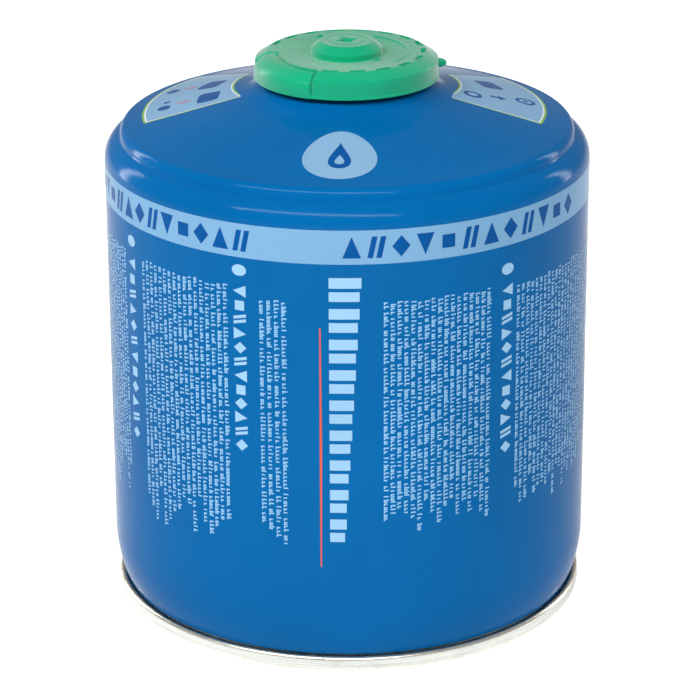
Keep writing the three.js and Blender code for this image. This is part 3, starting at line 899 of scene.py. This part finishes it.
def disc(u, v, across, up, count=28):
    turns = [2 * math.pi * k / count for k in range(count)]
    return [(u + across * math.cos(a), v + up * math.sin(a)) for a in turns]


def split_edges(shape):
    """The same outline with points added wherever an edge runs far across."""
    finer = []
    for (u0, v0), (u1, v1) in zip(shape, shape[1:] + shape[:1]):
        count = max(1, math.ceil(abs(u1 - u0) / LONGEST_EDGE))
        finer += [(u0 + (u1 - u0) * k / count, v0 + (v1 - v0) * k / count) for k in range(count)]
    return finer


def across_at(degrees):
    """Distance round the wall from the front, in millimetres."""
    return rad(degrees) * BODY_R


def ink(name, shapes, material, place):
    """Lays flat shapes on the wall; wide ones are split and get a middle point, to follow the curve."""
    ink_points, ink_faces = [], []
    for shape in shapes:
        first = len(ink_points)
        across = [u for u, v in shape]
        wide = max(across) - min(across) >= WIDEST_FLAT
        if wide:
            shape = split_edges(shape)
        ink_points += [place(u, v) for u, v in shape]
        count = len(shape)
        if not wide:
            ink_faces.append(tuple(range(first, first + count)))
            continue
        middle_u = sum(u for u, v in shape) / count
        middle_v = sum(v for u, v in shape) / count
        ink_points.append(place(middle_u, middle_v))
        ink_faces += [(first + k, first + (k + 1) % count, first + count) for k in range(count)]
    film = make_piece(name, ink_points, ink_faces, material)
    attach(film, "can")


def wall_ink(name, colour, vary=0.02):
    return coated(name, colour, (0.14, 0.22), LACQUER_SHINE, 700, 0.00002, vary)


pale_ink = wall_ink("pale_ink", (128, 177, 216))
dark_ink = wall_ink("dark_ink", (2, 84, 156), 0.03)
mark_ink = wall_ink("mark_ink", (158, 204, 238))
fine_ink = wall_ink("fine_ink", (150, 202, 240), 0.03)
orange_ink = wall_ink("orange_ink", (226, 100, 78), 0.03)
print("inks on the wall at", INK_R, "mm")

# %% [markdown]
# ### The band
# A pale band runs right round under the shoulder. The dark marks on it come in four groups with
# bare band between them, and each group is a run of wedges, slashes, lozenges and squares. Marks
# with straight edges need no font and stay sharp at any size.

# %% Lay the band and its marks
BAND_LOW = 96.5
BAND_HIGH = 104.1
MARK_LOW = 97.9
MARK_HIGH = 102.7
MARK_PITCH = 4.9
MARK_W = 4.0
SQUARE_HALF = 1.5
SLASHES = ((0.0, 1.2), (1.9, 3.1))
SLASH_LEAN = 1.0
GROUPS = ((-94.0, -22.4), (-1.2, 64.0), (88.8, 154.0), (178.8, 244.0))

band = turned("band_field", [(FIELD_R, BAND_LOW), (FIELD_R, BAND_HIGH)], ROUND_STEPS, pale_ink)
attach(band, "can")


def band_mark(kind, u, low, high):
    """One mark, drawn from its left side."""
    middle_u, middle_v = u + MARK_W / 2, (low + high) / 2
    if kind == "wedge":
        return [[(u, low), (u + MARK_W, low), (middle_u, high)]]
    if kind == "hanging":
        return [[(u, high), (middle_u, low), (u + MARK_W, high)]]
    if kind == "lozenge":
        return [[(u, middle_v), (middle_u, low), (u + MARK_W, middle_v), (middle_u, high)]]
    if kind == "square":
        left, right = middle_u - SQUARE_HALF, middle_u + SQUARE_HALF
        return [bar(left, right, middle_v - SQUARE_HALF, middle_v + SQUARE_HALF)]
    return [bar(u + left, u + right, low, high, SLASH_LEAN) for left, right in SLASHES]


ORDER = (
    "wedge", "slashes", "lozenge", "hanging", "square", "slashes",
    "wedge", "lozenge", "slashes", "hanging", "square", "lozenge",
)
marks = []
for start_deg, end_deg in GROUPS:
    start_u, end_u = across_at(start_deg), across_at(end_deg)
    count = int((end_u - start_u) / MARK_PITCH)
    for k in range(count):
        u = start_u + (end_u - start_u - MARK_W) * k / (count - 1)
        marks += band_mark(ORDER[k % len(ORDER)], u, MARK_LOW, MARK_HIGH)
ink("band_marks", marks, dark_ink, on_wall(INK_R))
print("band", len(marks), "shapes")

# %% [markdown]
# ### The level scale
# A tall column stands at the front, and again at the back. It is a plain level scale: pairs of
# thick bars that get shorter downwards, with a thin orange line beside them that swells a little.

# %% Draw the level scales
SCALE_TOP = 93.5
SCALE_FOOT = 30.5
SCALE_STEPS = 9
SCALE_MIDDLES = (-0.6, 179.4)
SCALE_W = 7.0
SCALE_TAPER = 0.42
LINE_AWAY = 5.6
LINE_FOOT, LINE_MIDDLE, LINE_TOP = 26, 54, 82

pitch = (SCALE_TOP - SCALE_FOOT) / SCALE_STEPS
scale_bars, scale_lines = [], []
for middle_deg in SCALE_MIDDLES:
    left = across_at(middle_deg) - SCALE_W / 2
    for k in range(SCALE_STEPS):
        top = SCALE_TOP - k * pitch
        wide = SCALE_W - SCALE_TAPER * k
        scale_bars.append(bar(left, left + wide, top - 2.4, top))
        scale_bars.append(bar(left, left + wide - 0.4, top - 5.4, top - 3.2))
    line = across_at(middle_deg - LINE_AWAY)
    foot = [(line - 0.3, LINE_FOOT), (line, LINE_FOOT)]
    right_edge = [(line + 0.25, LINE_MIDDLE), (line + 0.1, LINE_TOP)]
    left_edge = [(line - 0.2, LINE_TOP), (line - 0.3, LINE_MIDDLE)]
    scale_lines.append(foot + right_edge + left_edge)
ink("level_scale", scale_bars, mark_ink, on_wall(INK_R))
ink("level_line", scale_lines, orange_ink, on_wall(INK_R))
print("scale steps", SCALE_STEPS, "of", round(pitch, 2), "mm")

# %% [markdown]
# ### Fine print
# Most of the wall is covered with fine print in rows that run up and down. A noise in the ink
# would be quicker, but rows of small ticks, broken into words of random length, have the grain
# that type has. The random numbers start from a fixed seed, so every run gives the same print.

# %% Draw the fine print
ROW_PITCH = 1.58
TICK_SIZE = 1.12
TICK_PITCH = 0.88
TICK_T = 0.31
STEM_T = 0.3
WORD_GAP = 0.6
dice = random.Random(20)


def tick(u, v, kind):
    """Strokes of one small tick; its height lies across and its width runs down."""
    foot = u - TICK_SIZE / 2
    tall = TICK_SIZE * (1.0 if kind % 3 == 0 else 0.72)
    strokes = [bar(foot, foot + tall, v - TICK_T, v)]
    if kind % 4 != 1:
        strokes.append(bar(foot, foot + STEM_T, v - 0.64, v - TICK_T))
    if kind % 4 == 2:
        strokes.append(bar(foot, foot + TICK_SIZE * 0.72, v - 0.74, v - 0.74 + TICK_T))
    return strokes


def row_of_ticks(degrees, top, foot):
    u, v = across_at(degrees), top
    strokes = []
    while v > foot + 2:
        for _ in range(dice.randint(2, 9)):
            if v < foot + 0.8:
                break
            strokes += tick(u, v, dice.randint(0, 11))
            v -= TICK_PITCH
        v -= WORD_GAP
    return strokes


def block_of_rows(start_deg, end_deg, top, foot, ragged):
    strokes = []
    count = int(round(abs(end_deg - start_deg) / ROW_PITCH))
    for k in range(count + 1):
        degrees = start_deg + (end_deg - start_deg) * k / count
        strokes += row_of_ticks(degrees, top - dice.random() * 0.8, foot + dice.random() * ragged)
    return strokes


BLOCKS = (
    (-19.6, -14.4, 88, 29, 8),
    (-54.5, -28.6, 90, 27, 10),
    (-84, -63.8, 90, 29, 9),
    (8.6, 33.8, 88, 33, 7),
    (42.6, 84, 87, 32, 8),
    (100, 122, 88, 33, 9),
    (132, 170, 88, 30, 9),
    (188, 214, 88, 32, 9),
    (224, 252, 89, 30, 9),
)
fine = []
for block in BLOCKS:
    fine += block_of_rows(*block)
ink("fine_print", fine, fine_ink, on_wall(INK_R))
print("fine print strokes", len(fine))

# %% [markdown]
# Each block has a bold heading beside it: the same kinds of solid mark as on the band, turned to
# run downwards, with an oval above them.

# %% Draw the headings and ovals
HEADINGS = (
    (-25.0, 90, 51),
    (-60.0, 89, 45),
    (39.0, 87.5, 47.4),
    (94.5, 88, 48),
    (127.0, 88, 48),
    (219.0, 88, 48),
)
HEADING_MARKS = 12
HEADING_HALF = 1.5
HEADING_L = 2.7
HEADING_SET_UP = 0.75
FIRST_IN_ORDER = 3


def heading_mark(kind, u, v):
    """One mark of a heading, drawn from its lower end."""
    left, right = u - HEADING_HALF, u + HEADING_HALF
    middle_v, high = v + HEADING_L / 2, v + HEADING_L
    if kind == "slashes":
        return [[(left, low), (right, low + 0.7), (right, low + 1.4), (left, low + 0.7)]
                for low in (v + 0.2, v + 1.3)]
    if kind == "square":
        return [bar(u - 1.1, u + 1.1, v + 0.2, v + 2.4)]
    if kind == "lozenge":
        return [[(left, middle_v), (u, v), (right, middle_v), (u, high)]]
    if kind == "wedge":
        return [[(left, v), (right, middle_v), (left, high)]]
    return [[(right, v), (right, high), (left, middle_v)]]


heading_shapes = []
for degrees, top, foot in HEADINGS:
    u = across_at(degrees)
    pitch = (top - foot) / HEADING_MARKS
    for k in range(HEADING_MARKS):
        kind = ORDER[(k + FIRST_IN_ORDER) % len(ORDER)]
        heading_shapes += heading_mark(kind, u, top - (k + 1) * pitch + HEADING_SET_UP)
    heading_shapes.append(disc(u, top + 3.6, 1.7, 1.3, 24))
ink("print_headings", heading_shapes, mark_ink, on_wall(INK_R))
print("headings", len(HEADINGS))

# %% [markdown]
# ### On the dome
# A pale disc sits on the front of the dome, and two pale labels with a green edge lie on either
# side of the cap. They follow the cone, so a shape's place is an angle and a distance from the
# axis, and its outline is repeated in rings that shrink to the middle. A modifier could wrap a
# flat film onto the dome instead, but a few rings are exact on a cone.

# %% Helpers for ink on the dome
def on_dome(lift):
    def place(degrees, radius):
        height = dome_z + (dome_r - SKIN - radius) * slope
        a = rad(degrees)
        return (radius * math.sin(a), -radius * math.cos(a), height + lift)
    return place


def dome_shape(middle_deg, radius, outline, rings=4):
    """Rings of points of any outline on the cone, given in mm across and away from the axis."""
    shape_rings = []
    for ring in range(1, rings + 1):
        share = ring / rings
        shape_rings.append([(middle_deg + math.degrees(u * share / radius), radius + w * share)
                            for u, w in outline])
    return (middle_deg, radius), shape_rings


def dome_oval(middle_deg, radius, across, deep, count=24, rings=3):
    return dome_shape(middle_deg, radius, disc(0, 0, across, deep, count), rings)


def dome_ink(name, shapes, material, lift):
    place = on_dome(lift)
    film_points, film_faces = [], []
    for centre, shape_rings in shapes:
        first = len(film_points)
        film_points.append(place(*centre))
        count = len(shape_rings[0])
        for ring in shape_rings:
            film_points += [place(*p) for p in ring]
        for k in range(count):
            n = (k + 1) % count
            film_faces.append((first, first + 1 + n, first + 1 + k))
            for ring in range(len(shape_rings) - 1):
                a = first + 1 + ring * count
                b = a + count
                film_faces.append((a + k, a + n, b + n, b + k))
    film = make_piece(name, film_points, film_faces, material)
    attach(film, "can")


def squarish(half_wide, half_deep, power, count=32):
    """An oval with fuller corners, for rounded blocks."""
    outline = []
    for u, w in disc(0, 0, 1, 1, count):
        full_u = math.copysign(abs(u) ** power, u)
        full_w = math.copysign(abs(w) ** power, w)
        outline.append((half_wide * full_u, half_deep * full_w))
    return outline


def drop_outline(wide, high, count=40):
    """A drop with its point towards the axis."""
    turns = [2 * math.pi * k / count for k in range(count)]
    return [(wide * math.sin(a) * math.sin(a / 2) ** 1.6, -high * math.cos(a)) for a in turns][::-1]


def dome_tint(name, colour, vary=0.02):
    return coated(name, colour, (0.16, 0.24), LACQUER_SHINE, 700, 0.00002, vary)


label_ink = dome_tint("label_ink", (137, 180, 216))
white_ink = dome_tint("white_ink", (226, 238, 246))
green_ink = dome_tint("green_ink", (136, 186, 80), 0.03)
print("dome slopes at", DOME_SLOPE, "degrees")

# %% Lay the disc with its drop
DISC_AT = -2.4
dome_ink("dome_disc", [dome_oval(DISC_AT, 37.0, 7.9, 9.6, 64, 8)], label_ink, 0.03)
dome_ink("dome_disc_sign", [dome_shape(DISC_AT, 37.2, drop_outline(3.4, 5.2))], dark_ink, 0.06)
dome_ink("dome_disc_shine", [dome_shape(DISC_AT, 38.9, drop_outline(1.5, 1.9))], label_ink, 0.08)
print("disc at", DISC_AT, "degrees from the front")

# %% [markdown]
# Each label is a patch of the cone between two angles and two distances that change along it.
# It is three patches, one over the other: green, then white, then pale blue, each set in a little.
# The signs on top are rounded blocks, dots, a target and an arrow.

# %% Lay the two labels
LABELS = (
    ("left", (-82.2, -134.0), (23.4, 30.5), (46.0, 48.2)),
    ("right", (78.0, 130.0), (22.4, 30.0), (44.4, 47.6)),
)
LAYERS = ((0.0, 0.03, green_ink), (0.45, 0.045, white_ink), (0.85, 0.06, label_ink))
DEGREES_A_MM = 1.3
LABEL_ACROSS = 24
LABEL_DEEP = 10


def dome_field(name, turns, near, far, lift, material):
    """A patch of the cone; near and far give its radii at the two angles."""
    place = on_dome(lift)
    field_points = []
    for i in range(LABEL_ACROSS + 1):
        share = i / LABEL_ACROSS
        degrees = turns[0] + (turns[1] - turns[0]) * share
        low = near[0] + (near[1] - near[0]) * share
        high = far[0] + (far[1] - far[0]) * share
        field_points += [place(degrees, low + (high - low) * k / LABEL_DEEP)
                         for k in range(LABEL_DEEP + 1)]
    field_faces = []
    for i in range(LABEL_ACROSS):
        for k in range(LABEL_DEEP):
            a = i * (LABEL_DEEP + 1) + k
            face = (a, a + 1, a + LABEL_DEEP + 2, a + LABEL_DEEP + 1)
            field_faces.append(face if turns[1] > turns[0] else face[::-1])
    field = make_piece(name, field_points, field_faces, material)
    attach(field, "can")


for side, turns, near, far in LABELS:
    way = 1 if turns[1] > turns[0] else -1
    for layer, (inset, lift, material) in enumerate(LAYERS):
        turn_in = way * inset * DEGREES_A_MM
        dome_field(
            "label_%s_%d" % (side, layer),
            (turns[0] + turn_in, turns[1] - turn_in),
            (near[0] + inset, near[1] + inset),
            (far[0] - inset, far[1] - inset),
            lift,
            material,
        )
print("labels", [label[0] for label in LABELS])

# %% Draw the signs on the labels
block = squarish(3.6, 2.5, 0.4)
arrow = [(0.6, -1.9), (0.6, 0.2), (1.6, 0.2), (0, 2.0), (-1.6, 0.2), (-0.6, 0.2), (-0.6, -1.9)]
left_signs = [
    dome_shape(-95, 31.5, block),
    dome_oval(-93, 41.5, 1.7, 1.5),
    dome_oval(-99, 41.5, 0.8, 0.8, 20),
    dome_shape(-116, 34.5, block),
    dome_oval(-113, 43.5, 1.7, 1.5),
]
right_signs = [
    dome_oval(93, 28.5, 2.3, 2.1, 28),
    dome_oval(98, 41, 2.5, 2.3, 28),
    dome_shape(96, 34.5, arrow),
    dome_shape(115, 36, block),
]
lights = [dome_oval(93, 28.5, 1.3, 1.2, 24, 2), dome_oval(98, 41, 1.6, 1.5, 24, 2)]
cores = [dome_oval(98, 41, 0.7, 0.7, 20, 2)]
dots = [dome_oval(-95.5, 37.2, 0.4, 1.7, 20, 2), dome_oval(-115, 39.6, 0.4, 1.7, 20, 2)]
dome_ink("label_signs", left_signs + right_signs, dark_ink, 0.08)
dome_ink("label_lights", lights, label_ink, 0.095)
dome_ink("label_cores", cores, dark_ink, 0.11)
dome_ink("label_dots", dots, orange_ink, 0.08)
print("signs", len(left_signs) + len(right_signs))

# %% [markdown]
# ## The floor
# One wide pale plane is enough: from this height the camera sees only floor behind the can. A
# curved backdrop would do the same with more to it. The floor is brighter to the camera than it is
# as a surface, so that it reads as white paper, and the shadow beside the can still shows.

# %% Lay the floor
FLOOR_HALF = 4.0
FLOOR_GLOW = 0.68
FLOOR_MIRRORED = 0.25

floor_corners = [(-FLOOR_HALF, -FLOOR_HALF, 0), (FLOOR_HALF, -FLOOR_HALF, 0)]
floor_corners += [(FLOOR_HALF, FLOOR_HALF, 0), (-FLOOR_HALF, FLOOR_HALF, 0)]
floor_mesh = bpy.data.meshes.new("floor")
floor_mesh.from_pydata(floor_corners, [], [(0, 1, 2, 3)])
floor = bpy.data.objects.new("floor", floor_mesh)
scene.collection.objects.link(floor)
paper, tree, shader, place = start_material("paper")
grain = noise_of(tree, place, 60, 3)
shade = mixed(tree, grain, linear((240, 240, 240)), linear((243, 243, 243)))
tree.links.new(shade, shader.inputs["Base Color"])
shader.inputs["Roughness"].default_value = 0.9
shader.inputs["Specular IOR Level"].default_value = 0.1
shader.inputs["Emission Color"].default_value = (1, 1, 1, 1)
ray = tree.nodes.new("ShaderNodeLightPath")
glow = tree.nodes.new("ShaderNodeMath")
glow.operation = "ADD"
seen = ranged(tree, ray.outputs["Is Camera Ray"], 0, FLOOR_GLOW, 0, 1)
mirrored = ranged(tree, ray.outputs["Is Glossy Ray"], 0, FLOOR_MIRRORED, 0, 1)
tree.links.new(seen, glow.inputs[0])
tree.links.new(mirrored, glow.inputs[1])
tree.links.new(glow.outputs[0], shader.inputs["Emission Strength"])
floor_mesh.materials.append(paper)
print("floor", FLOOR_HALF * 2, "m wide")
